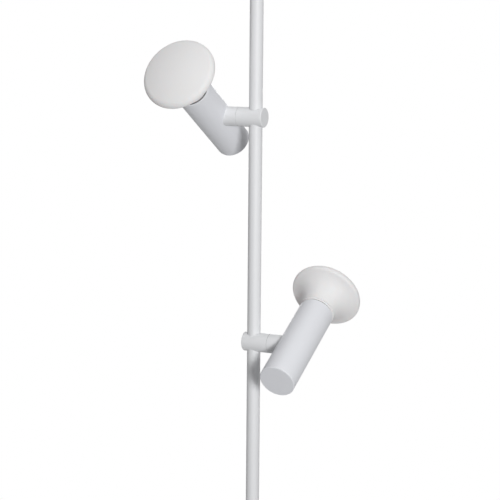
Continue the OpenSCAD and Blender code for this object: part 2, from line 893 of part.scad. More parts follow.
module board_screws_shape() {
    screw_head_r = 2.7;
    screw_head_h = 1.6;
    slot_w = 0.8;
    for (side = [-1, 1])
        translate([side * board_screw_r, 0, board_top])
            difference() {
                union() {
                    cylinder(r = screw_head_r, h = screw_head_h);
                    translate([0, 0, -board_screw_len])
                        cylinder(r = board_screw_d / 2, h = board_screw_len + cut);
                }
                translate([-screw_head_r, -slot_w / 2, screw_head_h / 2])
                    cube([2 * screw_head_r, slot_w, screw_head_h]);
            }
}

// White cone that gathers the light towards the diffuser
module reflector_shape() {
    top_r = spigot_ir - free_gap;
    rotate_extrude()
        polygon([[reflector_foot_r - reflector_t, reflector_z], [reflector_foot_r, reflector_z],
            [top_r, reflector_top], [top_r - reflector_t, reflector_top]]);
}

module seal_ring_shape() {
    rotate_extrude()
        translate([head_bore_r - run_gap - seal_d / 2, head_front - seal_depth])
            circle(r = seal_d / 2, $fn = 24);
}

// Half outline of the diffuser above its neck, drawn inwards by inset
module shade_outline(inset) {
    flare_c = [head_r + flare_r, neck_top];
    lip_c = [lip_x, shade_depth];
    rim_c = [rim_r, shade_depth];
    crown_c = [0, crown_top - crown_r];
    out = (rim_c - crown_c) / norm(rim_c - crown_c);
    difference() {
        polygon([[0, neck_top], flare_c, lip_c, [0, shade_depth]]);
        translate(flare_c) circle(r = flare_r + inset, $fn = 180);
        translate([0, neck_top - cut]) square([flare_c.x, cut + inset]);
    }
    translate(lip_c) circle(r = shade_lip_r - inset);
    intersection() {
        translate(rim_c) circle(r = shade_edge_r - inset);
        translate(rim_c - [shade_edge_r, 0]) square(2 * shade_edge_r);
    }
    intersection() {
        translate(crown_c) circle(r = crown_r - inset, $fn = 360);
        polygon([[0, shade_depth], rim_c, rim_c + 2 * shade_edge_r * out,
            [0, crown_top + cut]]);
    }
}

// Closed diffuser on a spigot, whose foot stands on the heat sink's plate
module shade_shape() {
    translate([0, 0, head_front])
        rotate_extrude()
            difference() {
                union() {
                    shade_outline(0);
                    polygon([[0, neck_gap], [head_r - rim_bevel, neck_gap],
                        [head_r, neck_gap + rim_bevel], [head_r, neck_top], [0, neck_top]]);
                    translate([0, -shade_spigot]) square([spigot_or, shade_spigot + neck_gap]);
                }
                shade_outline(shade_wall);
                translate([0, -shade_spigot - cut])
                    square([spigot_ir, shade_spigot + cut + neck_top + shade_wall]);
                translate([spigot_or - seal_d + run_gap, -seal_depth - seal_d / 2 - run_gap])
                    square([seal_d, seal_d + 2 * run_gap]);
            }
}

module upper_stub() color(paint) on_head(UPPER) stub_shape(UPPER);
module upper_head_tube() color(paint) in_head(UPPER) head_tube_shape();
module upper_saddle() color(steel) in_head(UPPER) saddle_shape();
module upper_end_cap() color(paint) in_head(UPPER) end_cap_shape();
module upper_driver() color(nylon) in_head(UPPER) driver_shape();
module upper_heat_sink() color(alloy) in_head(UPPER) heat_sink_shape();
module upper_led_board() color(alloy) in_head(UPPER) led_board_shape();
module upper_leds() color(brass) in_head(UPPER) leds_shape();
module upper_board_screws() color(steel) in_head(UPPER) board_screws_shape();
module upper_reflector() color(nylon) in_head(UPPER) reflector_shape();
module upper_seal_ring() color(rubber) in_head(UPPER) seal_ring_shape();
module upper_shade() color(opal) in_head(UPPER) shade_shape();

module lower_stub() color(paint) on_head(LOWER) stub_shape(LOWER);
module lower_head_tube() color(paint) in_head(LOWER) head_tube_shape();
module lower_saddle() color(steel) in_head(LOWER) saddle_shape();
module lower_end_cap() color(paint) in_head(LOWER) end_cap_shape();
module lower_driver() color(nylon) in_head(LOWER) driver_shape();
module lower_heat_sink() color(alloy) in_head(LOWER) heat_sink_shape();
module lower_led_board() color(alloy) in_head(LOWER) led_board_shape();
module lower_leds() color(brass) in_head(LOWER) leds_shape();
module lower_board_screws() color(steel) in_head(LOWER) board_screws_shape();
module lower_reflector() color(nylon) in_head(LOWER) reflector_shape();
module lower_seal_ring() color(rubber) in_head(LOWER) seal_ring_shape();
module lower_shade() color(opal) in_head(LOWER) shade_shape();

floor_pad();
foot();
lower_pole();
middle_pole();
upper_pole();
pole_couplers();
set_screws();
cable_inlet();
pole_cable();
pole_bush();
lock_collar();
thumb_screw();
extension_tube();
slider_plugs();
slider_pins();
spring_sleeve();
sleeve_bush();
ceiling_plate();
plate_screw();
ceiling_pad();
spring();
upper_arm();
upper_glide_rings();
upper_tilt_bolt();
upper_spring_washer();
upper_swivel_nut();
upper_stop_pin();
upper_lead();
upper_stub();
upper_head_tube();
upper_saddle();
upper_end_cap();
upper_driver();
upper_heat_sink();
upper_led_board();
upper_leds();
upper_board_screws();
upper_reflector();
upper_seal_ring();
upper_shade();
lower_arm();
lower_glide_rings();
lower_tilt_bolt();
lower_spring_washer();
lower_swivel_nut();
lower_stop_pin();
lower_lead();
lower_stub();
lower_head_tube();
lower_saddle();
lower_end_cap();
lower_driver();
lower_heat_sink();
lower_led_board();
lower_leds();
lower_board_screws();
lower_reflector();
lower_seal_ring();
lower_shade();
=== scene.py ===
"""Finishes, diffusers, ceiling spring, light sources and studio for the tension pole lamp.

The frame brings every solid of the lamp in its place. The operators below paint those
solids, turn the two opal diffusers, wind the ceiling spring, set the LEDs on their
boards, and put the lamp into a plain white studio. Lengths are in metres, +Z is up, and
the origin is where the pole's axis meets the floor.
"""

import json
import math

import bpy
from bpy.props import FloatProperty, FloatVectorProperty, IntProperty, PointerProperty
from mathutils import Matrix, Vector


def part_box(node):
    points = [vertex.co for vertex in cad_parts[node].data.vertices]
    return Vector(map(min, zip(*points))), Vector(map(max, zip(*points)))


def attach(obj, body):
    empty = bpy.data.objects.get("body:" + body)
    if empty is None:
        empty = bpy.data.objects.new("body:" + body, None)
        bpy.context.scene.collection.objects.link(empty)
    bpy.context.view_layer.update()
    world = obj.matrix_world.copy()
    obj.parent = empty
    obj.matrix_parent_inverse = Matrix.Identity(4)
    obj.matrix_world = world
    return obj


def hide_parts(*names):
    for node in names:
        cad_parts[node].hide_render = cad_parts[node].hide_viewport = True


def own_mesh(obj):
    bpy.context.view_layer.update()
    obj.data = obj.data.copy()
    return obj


bl_info = {
    "name": "Tension Pole Lamp",
    "version": (1, 0, 0),
    "blender": (4, 5, 0),
    "location": "3D View > Sidebar > Lamp",
    "description": "Finishes, diffusers, spring, light sources and studio of a pole lamp",
    "category": "Object",
}

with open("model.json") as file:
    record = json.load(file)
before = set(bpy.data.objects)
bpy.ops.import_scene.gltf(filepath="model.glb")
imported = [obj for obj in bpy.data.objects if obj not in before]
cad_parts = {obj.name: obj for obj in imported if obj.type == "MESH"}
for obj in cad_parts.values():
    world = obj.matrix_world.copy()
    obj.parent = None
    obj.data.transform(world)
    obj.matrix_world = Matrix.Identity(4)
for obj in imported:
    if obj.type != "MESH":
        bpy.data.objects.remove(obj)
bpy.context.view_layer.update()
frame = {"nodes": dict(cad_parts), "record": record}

SIDES = ("upper", "lower")
MM = 0.001
MERGE_GAP = 0.01 * MM  # vertices nearer than this become one
NECK_BEVEL = 0.3 * MM  # bevel where the diffuser leaves its shadow gap
TURN_STEPS, WIRE_SIDES = 32, 12  # faces along one turn of the spring, and round its wire
SEAM_SHADE_DARK, SEAM_SHADE_SHARE = 0.25, 0.8  # how dark the painted shade in the seam of arm and head is, and how much of it shows
DUST = (0.16, 0.155, 0.15)  # colour of the dust on rubber
AIM_HEIGHT, LIGHT_DISTANCE = 1.35, 2.6  # where the studio lights face, and from how far
FLOOR_RADIUS, FLOOR_SIDES = 1.6, 96
FLOOR_PLAIN, FLOOR_FADE = 0.5, 1.0  # plain out to a radius, then over a width into white
FLOOR_TONE, FLOOR_GLOW = 0.42, 0.62  # the floor's colour, and what makes it pale when seen

# ---- sizes and colours a user would change ----


def length(name, description, default):
    """A length property, in metres."""
    return FloatProperty(
        name=name, description=description, default=default, min=0.0, unit="LENGTH", precision=5
    )


def colour(name, description, default):
    """A colour property."""
    return FloatVectorProperty(
        name=name,
        description=description,
        default=default,
        min=0.0,
        max=1.0,
        size=3,
        subtype="COLOR",
    )


def share(name, description, default, top=1.0):
    """A plain number from 0 to top."""
    return FloatProperty(name=name, description=description, default=default, min=0.0, max=top)


def angle(name, description, default):
    """An angle property, given in degrees."""
    return FloatProperty(
        name=name, description=description, default=math.radians(default), subtype="ANGLE"
    )


class FinishSettings(bpy.types.PropertyGroup):
    """Colours and surface of the finishes."""

    paint: colour("Powder coat", "Colour of the pole's and arms' coat", (0.793, 0.80, 0.815))
    head_paint: colour("Head coat", "Colour of the head tubes' coat", (0.80, 0.81, 0.845))
    paint_roughness: share("Coat roughness", "Roughness of the powder coat", 0.50)
    peel_pitch: length("Peel pitch", "Distance between the ripples of the powder coat", 0.0014)
    peel_height: length("Peel height", "Height of the ripples of the powder coat", 0.000012)
    # Painted shade: reach of a darker line of coat that stands for the shadow in the seam of arm
    # and head
    seam_shade_reach: length("Joint line", "Reach of the dark line at the joint of arm and head", 0.0003)
    opal: colour("Opal", "Colour of the diffusers", (0.757, 0.765, 0.766))
    opal_roughness: share("Opal roughness", "Roughness of the diffusers", 0.56)
    opal_glow: share("Opal depth", "Share of light that enters the opal", 0.15)
    opal_reach: length("Opal reach", "How far light spreads in the opal", 0.0015)
    # Painted light: the unlit opal gets a faint warm glow that lifts and warms its shaded parts
    painted_glow: share("Stray light", "Light that comes back out of the hollow opal", 0.10)
    painted_glow_tone: colour("Stray tone", "Tone of the light out of the hollow opal", (0.80, 0.68, 0.69))
    # Painted shade: the colour of a dark band that stands for the shadow deep in the gap above the
    # tube's rim
    mask: colour("Neck mask", "Colour of the light-tight band at the neck", (0.15, 0.15, 0.15))
    rubber: colour("Rubber", "Colour of the rubber pads", (0.035, 0.035, 0.037))


class HeadSettings(bpy.types.PropertyGroup):
    """Where the two heads are."""

    upper_height: length("Upper height", "Height of the upper arm's axis", 1.500)
    lower_height: length("Lower height", "Height of the lower arm's axis", 1.198)
    arm_turn: angle("Arm turn", "Direction of the upper arm; the lower one is opposite", 154.8)
    upper_tilt: angle("Upper tilt", "Tilt of the upper head from straight up", 58.5)
    lower_tilt: angle("Lower tilt", "Tilt of the lower head from straight up", 61.5)
    offset: length("Head offset", "Distance from the pole's axis to a head tube's axis", 0.0636)
    front: length("Tube front", "Reach of the head tube in front of the arm's axis", 0.0715)
    seam: length("Seam", "Distance from the pole's axis to the joint of arm and head", 0.024)


class DiffuserSettings(bpy.types.PropertyGroup):
    """Sizes of an opal diffuser."""

    diameter: length("Diameter", "Diameter of the diffuser", 0.098)
    neck: length("Neck", "Diameter of the neck, that of the head tube", 0.048)
    neck_gap: length("Neck gap", "Height of the shadow gap above the tube's rim", 0.0045)
    neck_band: length("Neck band", "Height of the straight band above the gap", 0.001)
    # Painted shade: how far the dark band standing for the gap's shadow reaches above the tube's
    # rim
    painted_shade_rise: length("Mask rise", "Reach of the light-tight band above the tube's rim", 0.0023)
    depth: length("Depth", "Distance from the tube's rim to the widest plane", 0.0398)
    edge: length("Edge radius", "Rounding of the diffuser's rim at its front", 0.0082)
    lip: length("Lip radius", "Rounding of the diffuser's rim at its back", 0.004)
    crown: length("Crown", "Rise of the front face to its middle", 0.006)
    spigot: length("Spigot", "Diameter of the spigot inside the tube", 0.0444)
    spigot_length: length("Spigot length", "Length of the spigot inside the tube", 0.018)
    wall: length("Wall", "Thickness of the opal", 0.002)
    columns: IntProperty(name="Columns", description="Faces around", default=128, min=24)


class SpringSettings(bpy.types.PropertyGroup):
    """Sizes of the ceiling spring."""

    wire: length("Wire", "Diameter of the wire", 0.0018)
    outside: length("Outside", "Outside diameter of the coil", 0.0148)
    turns: IntProperty(name="Turns", description="Number of turns", default=13, min=4)
    end_gap: length("End gap", "Gap between the closed turns at each end", 0.0006)


class LedSettings(bpy.types.PropertyGroup):
    """Light sources on each board."""

    count: IntProperty(name="Ring", description="LEDs around the middle one", default=8, min=3)
    ring: length("Ring radius", "Radius of the ring of LEDs", 0.0093)
    width: length("Width", "Width of one LED", 0.003)
    height: length("Height", "Height of one LED", 0.0008)
    phosphor: colour("Phosphor", "Colour of the unlit phosphor", (0.87, 0.72, 0.16))


class StageSettings(bpy.types.PropertyGroup):
    """Camera and light of the studio."""

    distance: length("Camera distance", "Distance of the camera in front of the pole", 2.1925)
    height: length("Camera height", "Height of the camera", 1.6662)
    yaw: angle("Yaw", "Turn of the camera to the right", -0.16)
    pitch: angle("Pitch", "Tilt of the camera upwards", -8.90)
    roll: angle("Roll", "Roll of the camera", 0.48)
    lens: FloatProperty(
        name="Lens", description="Focal length in mm for a frame 36 mm wide", default=119.71
    )
    key: share("Key", "Power of the key light in watts", 44.0, 500.0)
    top: share("Top", "Power of the top light in watts", 21.0, 500.0)
    back: share("Back", "Power of the light behind the lamp in watts", 20.0, 500.0)
    ambient: share("Ambient", "Strength of the light from all round", 0.2, 4.0)


class LampSettings(bpy.types.PropertyGroup):
    """All settings of the lamp."""

    finish: PointerProperty(type=FinishSettings)
    heads: PointerProperty(type=HeadSettings)
    diffuser: PointerProperty(type=DiffuserSettings)
    spring: PointerProperty(type=SpringSettings)
    leds: PointerProperty(type=LedSettings)
    stage: PointerProperty(type=StageSettings)


# ---- node trees written as expressions ----


class Socket:
    """An output socket that takes part in Python arithmetic by adding Math nodes."""

    def __init__(self, nodes, out):
        self.nodes, self.out = nodes, out

    def math(self, operation, *values, **settings):
        """A Math node of that operation on the given values."""
        return self.nodes.add("ShaderNodeMath", {"operation": operation, **settings}, values)

    def __add__(self, other):
        return self.math("ADD", self, other)

    def __radd__(self, other):
        return self.math("ADD", other, self)

    def __sub__(self, other):
        return self.math("SUBTRACT", self, other)

    def __rsub__(self, other):
        return self.math("SUBTRACT", other, self)

    def __mul__(self, other):
        return self.math("MULTIPLY", self, other)

    def __rmul__(self, other):
        return self.math("MULTIPLY", other, self)

    def __truediv__(self, other):
        return self.math("DIVIDE", self, other)

    def __rtruediv__(self, other):
        return self.math("DIVIDE", other, self)

    def __pow__(self, other):
        return self.math("POWER", self, other)

    def beside(self, name):
        """Another output of the same node."""
        return Socket(self.nodes, self.out.node.outputs[name])

    def clamp(self):
        """The value held between 0 and 1."""
        return self.math("ADD", self, 0.0, use_clamp=True)

    def unsigned(self):
        """The value without its sign."""
        return self.math("ABSOLUTE", self)

    def sin(self):
        """The sine of an angle."""
        return self.math("SINE", self)

    def cos(self):
        """The cosine of an angle."""
        return self.math("COSINE", self)

    def least(self, other):
        """The smaller of two values."""
        return self.math("MINIMUM", self, other)

    def most(self, other):
        """The larger of two values."""
        return self.math("MAXIMUM", self, other)

    def below(self, other):
        """1 where the value is less than the other, else 0."""
        return self.math("LESS_THAN", self, other)


class Nodes:
    """One node tree: adds nodes, sets their options first, then fills or links their inputs."""

    def __init__(self, tree):
        self.tree = tree
        tree.nodes.clear()

    def add(self, kind, settings=None, inputs=(), output=0):
        """Adds a node and returns one of its outputs."""
        node = self.tree.nodes.new(kind)
        for key, value in (settings or {}).items():
            setattr(node, key, value)
        pairs = inputs.items() if isinstance(inputs, dict) else enumerate(inputs)
        for key, value in pairs:
            for one in value if isinstance(value, list) else [value]:
                if isinstance(one, Socket):
                    self.tree.links.new(one.out, node.inputs[key])
                else:
                    node.inputs[key].default_value = one
        return Socket(self, node.outputs[output]) if len(node.outputs) else node

    def split(self, vector):
        """The X and Y of a vector."""
        x = self.add("ShaderNodeSeparateXYZ", {}, (vector,))
        return x, x.beside("Y")

    def seen(self):
        """1 where a surface is seen by the camera, or in gloss or glass, else 0."""
        ray = self.add("ShaderNodeLightPath", output="Is Camera Ray")
        return (ray + ray.beside("Is Glossy Ray") + ray.beside("Is Transmission Ray")).clamp()


class Finish(Nodes):
    """The node tree of one material, with the patterns that the finishes share."""

    def __init__(self, name):
        self.material = bpy.data.materials.new(name)
        self.material.use_nodes = True
        super().__init__(self.material.node_tree)
        self.place = self.add("ShaderNodeTexCoord", output="Object")

    def stretched(self, scale):
        """Object coordinates stretched along each axis."""
        inputs = {"Vector": self.place, "Scale": scale}
        return self.add("ShaderNodeMapping", {"vector_type": "POINT"}, inputs)

    def noise(self, pitch, detail=2.0, roughness=0.5, at=None):
        """Noise from 0 to 1 whose lumps are one pitch apart."""
        inputs = {"Vector": at or self.place, "Scale": 1.0 / pitch}
        inputs.update({"Detail": detail, "Roughness": roughness})
        return self.add("ShaderNodeTexNoise", {}, inputs)

    def cells(self, pitch):
        """Distance to the nearest of scattered points."""
        inputs = {"Vector": self.place, "Scale": 1.0 / pitch}
        return self.add("ShaderNodeTexVoronoi", {}, inputs)

    def blend(self, factor, low, high):
        """Colour mixed from low to high."""
        low, high = [(*c, 1.0) if isinstance(c, tuple) else c for c in (low, high)]
        inputs = {0: factor, 6: low, 7: high}
        return self.add("ShaderNodeMix", {"data_type": "RGBA"}, inputs, output=2)

    def bump(self, height, depth):
        """Normal of a surface whose relief is depth metres."""
        inputs = {"Height": height, "Distance": depth, "Strength": 1.0}
        return self.add("ShaderNodeBump", {}, inputs)

    def surface(self, **sockets):
        """Ends the tree in a Principled shader and returns the material."""
        inputs = {name.replace("_", " "): value for name, value in sockets.items()}
        shader = self.add("ShaderNodeBsdfPrincipled", {}, inputs)
        self.add("ShaderNodeOutputMaterial", {}, {"Surface": shader})
        return self.material


def shade(tone, factor):
    """A colour made darker or lighter."""
    return tuple(min(1.0, c * factor) for c in tone)


def around(tone, spread):
    """The same colour a little darker and a little lighter, as a pair."""
    return shade(tone, 1.0 - spread), shade(tone, 1.0 + spread)


# ---- finishes ----


def powder_coat(name, tone, settings, joint=None):
    """Satin white powder coat: fine ripples and a slow drift of tone.

    Where joint is given, as the arms' direction and a distance, the coat is darker in a thin
    line at that distance from the pole's axis, a painted shade for the shadow in the seam where arm
    and head meet.
    """
    f = Finish(name)
    drift = f.noise(0.06, detail=2.0)
    ripple = f.noise(settings.peel_pitch, detail=1.0)
    grain = f.noise(settings.peel_pitch / 4, detail=1.0)
    coat = f.blend(drift, *around(tone, 0.015))
    # painted shade: a thin darker line of coat stands for the shadow in the seam of arm and head
    if joint:
        turn, reach = joint
        x, y = f.split(f.place)
        along = x * math.cos(turn) + y * math.sin(turn)
        away = (along.unsigned() - reach).unsigned()
        line = (1.0 - away / settings.seam_shade_reach).clamp()
        coat = f.blend(line * SEAM_SHADE_SHARE, coat, shade(tone, SEAM_SHADE_DARK))
    return f.surface(
        Base_Color=coat,
        Roughness=settings.paint_roughness + (ripple - 0.5) * 0.06 + (drift - 0.5) * 0.05,
        Specular_IOR_Level=0.42,
        Normal=f.bump(ripple + grain * 0.35, settings.peel_height),
    )


def opal(name, settings):
    """Satin opal: light goes a little way in, and the moulding leaves a faint wave."""
    f = Finish(name)
    tone = tuple(settings.opal)
    cloud = f.noise(0.03, detail=2.0)
    frost = f.noise(0.0004, detail=1.0)
    wave = f.noise(0.018, detail=0.0)
    return f.surface(
        Base_Color=f.blend(cloud, *around(tone, 0.01)),
        Roughness=settings.opal_roughness + (frost - 0.5) * 0.08,
        Subsurface_Weight=settings.opal_glow,
        Subsurface_Radius=(1.0, 0.62, 0.5),
        Subsurface_Scale=settings.opal_reach,
        Specular_IOR_Level=0.18,
        # painted light: a faint warm glow of the unlit opal, lifting and warming its shaded parts
        Emission_Color=(*settings.painted_glow_tone, 1.0),
        Emission_Strength=settings.painted_glow,
        Normal=f.bump(frost * 0.05 + wave, 0.00004),
    )


def rubber(name, settings):
    """Matt moulded rubber with a fine grain and some dust."""
    f = Finish(name)
    tone = tuple(settings.rubber)
    grain = f.cells(0.0007)
    dust = f.noise(0.012, detail=3.0)
    return f.surface(
        Base_Color=f.blend((dust - 0.45).clamp() * 0.5, tone, DUST),
        Roughness=0.72 + (dust - 0.5) * 0.2,
        Normal=f.bump(grain, 0.00004),
    )


def moulded(name, tone, roughness, grain=0.0006, relief=0.00001):
    """Moulded plastic: an even tone, a fine spark-eroded texture, slow flow marks."""
    f = Finish(name)
    flow = f.noise(0.02, detail=2.0)
    texture = f.noise(grain, detail=2.0, roughness=0.6)
    return f.surface(
        Base_Color=f.blend(flow, shade(tone, 0.97), shade(tone, 1.02)),
        Roughness=roughness + (texture - 0.5) * 0.12,
        Normal=f.bump(texture, relief),
    )


def metal(name, tone, roughness, streaks, relief=0.000004, stain=0.04):
    """Bare or plated metal: tool marks stretched along streaks, with slight staining."""
    f = Finish(name)
    marks = f.noise(0.0009, detail=3.0, roughness=0.6, at=f.stretched(streaks))
    blotch = f.noise(0.006, detail=3.0)
    return f.surface(
        Base_Color=f.blend(blotch, *around(tone, stain)),
        Metallic=1.0,
        Roughness=(roughness + (marks - 0.5) * 0.18 + (blotch - 0.5) * 0.12).clamp(),
        Normal=f.bump(marks, relief),
    )


def make_finishes(lamp):
    """Every finish of the lamp, by the record's slot names where the record has the slot."""
    settings, joint = lamp.finish, (lamp.heads.arm_turn, lamp.heads.seam)
    paint, head_paint = tuple(settings.paint), tuple(settings.head_paint)
    turned, drawn, even = (1.0, 1.0, 0.12), (0.12, 1.0, 1.0), (1.0, 1.0, 1.0)
    return {
        "paint": powder_coat("powder_coat", paint, settings),
        "paint_head": powder_coat("head_coat", head_paint, settings),
        # the coat of arms and stubs, with the seam's shadow painted in
        "paint_seam_shade": powder_coat("arm_coat", paint, settings, joint),
        "opal": opal("opal", settings),
        # painted shade: a dark finish standing for the shadow in the neck's gap
        "mask": moulded("neck_mask", tuple(settings.mask), 0.7),
        "rubber": rubber("rubber", settings),
        "silicone": moulded("silicone", (0.70, 0.70, 0.68), 0.45),
        "acetal": moulded("acetal", (0.80, 0.80, 0.76), 0.38),
        "white_plastic": moulded("white_plastic", (0.82, 0.82, 0.80), 0.48, 0.0005, 0.00002),
        "cable_sheath": moulded("cable_sheath", (0.78, 0.78, 0.76), 0.42, grain=0.0015),
        "zinc_steel": metal("zinc_steel", (0.60, 0.61, 0.63), 0.36, turned, stain=0.07),
        "nickel_steel": metal("nickel_steel", (0.68, 0.66, 0.63), 0.26, drawn),
        "spring_steel": metal("spring_steel", (0.33, 0.33, 0.34), 0.34, turned, stain=0.10),
        "brass": metal("brass", (0.70, 0.53, 0.24), 0.30, turned, stain=0.08),
        "alloy": metal("alloy", (0.66, 0.67, 0.69), 0.52, even, relief=0.00003),
        "board": moulded("solder_mask", (0.84, 0.84, 0.83), 0.34, grain=0.0012),
        "phosphor": moulded("led_body", (0.82, 0.82, 0.80), 0.40),
        "led_window": moulded("phosphor_window", tuple(lamp.leds.phosphor), 0.55, grain=0.0002),
    }


FINISHES = {}


def finish_of(slot):
    """The finish of that name. All are made at the first call."""
    if not FINISHES:
        FINISHES.update(make_finishes(bpy.context.scene.tension_lamp))
    return FINISHES[slot]


def apply_finish(names, finish=None):
    """Gives solids of the frame the finish that the record names for them, or the one given."""
    slots = {s["node"]: s["material_slot"] for s in frame["record"]["subparts"]}
    for name in names:
        mesh = frame["nodes"][name].data
        mesh.materials.clear()
        mesh.materials.append(finish_of(finish or slots[name]))


# ---- geometry trees ----


class Shape(Nodes):
    """A Geometry Nodes tree with named inputs, turned into a plain mesh when it is done."""

    def __init__(self, name):
        tree = bpy.data.node_groups.new(name, "GeometryNodeTree")
        super().__init__(tree)
        tree.interface.new_socket("Geometry", in_out="OUTPUT", socket_type="NodeSocketGeometry")
        self.values = {}
        self.group_in = tree.nodes.new("NodeGroupInput")

    def size(self, name, value):
        """Declares a named input and returns its socket."""
        kind = "NodeSocketInt" if isinstance(value, int) else "NodeSocketFloat"
        item = self.tree.interface.new_socket(name, in_out="INPUT", socket_type=kind)
        self.values[item.identifier] = value
        return Socket(self, self.group_in.outputs[item.identifier])

    def set_material(self, geometry, material, selection=True):
        """The geometry with that material on its selected faces."""
        inputs = {"Geometry": geometry, "Material": material, "Selection": selection}
        return self.add("GeometryNodeSetMaterial", {}, inputs)

    def raised(self, geometry, height):
        """The geometry moved up."""
        inputs = {"Geometry": geometry, "Translation": self.vector(0.0, 0.0, height)}
        return self.add("GeometryNodeTransform", {}, inputs)

    def join(self, *parts):
        """All the parts as one geometry."""
        return self.add("GeometryNodeJoinGeometry", {}, {"Geometry": list(parts)})

    def vector(self, x, y, z):
        """A vector from three values."""
        return self.add("ShaderNodeCombineXYZ", {}, (x, y, z))

    def mesh(self, geometry, placing, material=None):
        """Ends the tree, evaluates it and returns its mesh, moved to its place in the lamp."""
        realized = self.add("GeometryNodeRealizeInstances", {}, {"Geometry": geometry})
        if material:
            realized = self.set_material(realized, material)
        self.add("NodeGroupOutput", {}, {0: realized})
        name = self.tree.name
        carrier = put_in_scene(bpy.data.objects.new(name, bpy.data.meshes.new(name)))
        modifier = carrier.modifiers.new("shape", "NODES")
        modifier.node_group = self.tree
        for identifier, value in self.values.items():
            modifier[identifier] = value
        graph = bpy.context.evaluated_depsgraph_get()
        made = bpy.data.meshes.new_from_object(
            carrier.evaluated_get(graph), preserve_all_data_layers=True, depsgraph=graph
        )
        bpy.data.objects.remove(carrier)
        made.transform(placing)
        return made


def put_in_scene(obj):
    """Links an object to the scene and returns it."""
    bpy.context.scene.collection.objects.link(obj)
    return obj


def round_off(mesh, sharp_from):
    """Shades a mesh smooth, but for edges sharper than that many degrees."""
    mesh.shade_smooth()
    mesh.set_sharp_from_angle(angle=math.radians(sharp_from))


def place_piece(name, mesh, body, replaced):
    """Puts a finished mesh into the lamp on the body it moves with."""
    piece = put_in_scene(bpy.data.objects.new(name, mesh))
    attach(piece, body)
    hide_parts(*replaced)
    return piece


def head_place(side):
    """Matrix from a head's own frame, +Z along its tube, to the lamp's frame."""
    heads = bpy.context.scene.tension_lamp.heads
    lower = side == "lower"
    height = heads.lower_height if lower else heads.upper_height
    tilt = heads.lower_tilt if lower else heads.upper_tilt
    turn = heads.arm_turn + (math.pi if lower else 0.0)
    return (
        Matrix.Translation((0.0, 0.0, height))
        @ Matrix.Rotation(turn, 4, "Z")
        @ Matrix.Rotation(-tilt, 4, "X")
        @ Matrix.Translation((heads.offset, 0.0, 0.0))
    )


def diffuser_outline(d):
    """The diffuser's outer outline from the foot of its spigot to the middle of its front.

    Each entry is a straight step (across, up, faces) or an arc (radius, start, sweep, faces).
    Every arc is tangent to the next. A dark band of painted shade, standing for the shadow deep in
    the gap above the tube's rim, covers the first two steps.
    """
    neck, rim, lip = d.neck / 2, d.diameter / 2 - d.edge, d.diameter / 2 - d.lip
    neck_top = d.neck_gap + d.neck_band
    run, rise = lip - neck, d.depth - neck_top
    flare = (run**2 + rise**2 - d.lip**2) / (d.diameter - d.neck)
    lean = math.atan2(rise, run - flare)
    crown = (rim**2 + (d.edge + d.crown) ** 2 - d.edge**2) / (2 * d.crown)
    crown_centre = d.depth + d.edge + d.crown - crown
    top = math.atan2(d.depth - crown_centre, rim)
    return [
        (0.0, d.spigot_length, 4),
        (0.0, d.painted_shade_rise, 1),
        (0.0, d.neck_gap - d.painted_shade_rise, 1),
        (neck - NECK_BEVEL - d.spigot / 2, 0.0, 1),
        (NECK_BEVEL, NECK_BEVEL, 1),
        (0.0, d.neck_band - NECK_BEVEL, 2),
        (flare, math.pi, lean - math.pi, 34),
        (d.lip, lean - math.pi, math.pi - lean, 12),
        (d.edge, 0.0, top, 14),
        (crown, top, math.pi / 2 - top, 24),
    ]


def turn_diffuser(side):
    """Revolves the outline by formula and gives it the opal's wall."""
    lamp = bpy.context.scene.tension_lamp
    d = lamp.diffuser
    outline = diffuser_outline(d)
    rows, shaded_rows = (sum(step[-1] for step in part) for part in (outline, outline[:2]))
    s = Shape(side + "_diffuser_turning")
    across = s.size("Spigot radius", d.spigot / 2)
    up = s.size("Foot of the spigot", lamp.heads.front - d.spigot_length)
    columns = s.size("Columns", d.columns)
    grid = s.add("GeometryNodeMeshGrid", {}, (1.0, 1.0, rows + 1, columns + 1))
    x, y = s.split(s.add("GeometryNodeInputPosition"))
    row = (x + 0.5) * rows
    turn = (y + 0.5) * (-2 * math.pi)
    start = 0
    for step in outline:
        done = ((row - start) / step[-1]).clamp()
        start += step[-1]
        if len(step) == 3:
            across, up = across + done * step[0], up + done * step[1]
        else:
            radius, first, sweep, _ = step
            turned = done * sweep + first
            across = across + (turned.cos() - math.cos(first)) * radius
            up = up + (turned.sin() - math.sin(first)) * radius
    point = s.vector(across * turn.cos(), across * turn.sin(), up)
    skin = s.set_material(grid, finish_of("opal"))
    # painted shade: the spigot's rows and the gap's lowest rows get a dark finish standing for the
    # gap's shadow
    skin = s.set_material(skin, finish_of("mask"), row.below(shaded_rows))
    skin = s.add("GeometryNodeSetPosition", {}, {"Geometry": skin, "Position": point})
    skin = s.add("GeometryNodeMergeByDistance", {}, {"Geometry": skin, "Distance": MERGE_GAP})
    mesh = s.mesh(skin, head_place(side))
    piece = place_piece(side + "_diffuser", mesh, side + "_head", [side + "_shade"])
    wall = piece.modifiers.new("wall", "SOLIDIFY")
    wall.thickness, wall.offset, wall.use_even_offset = d.wall, -1.0, True
    round_off(mesh, 35)


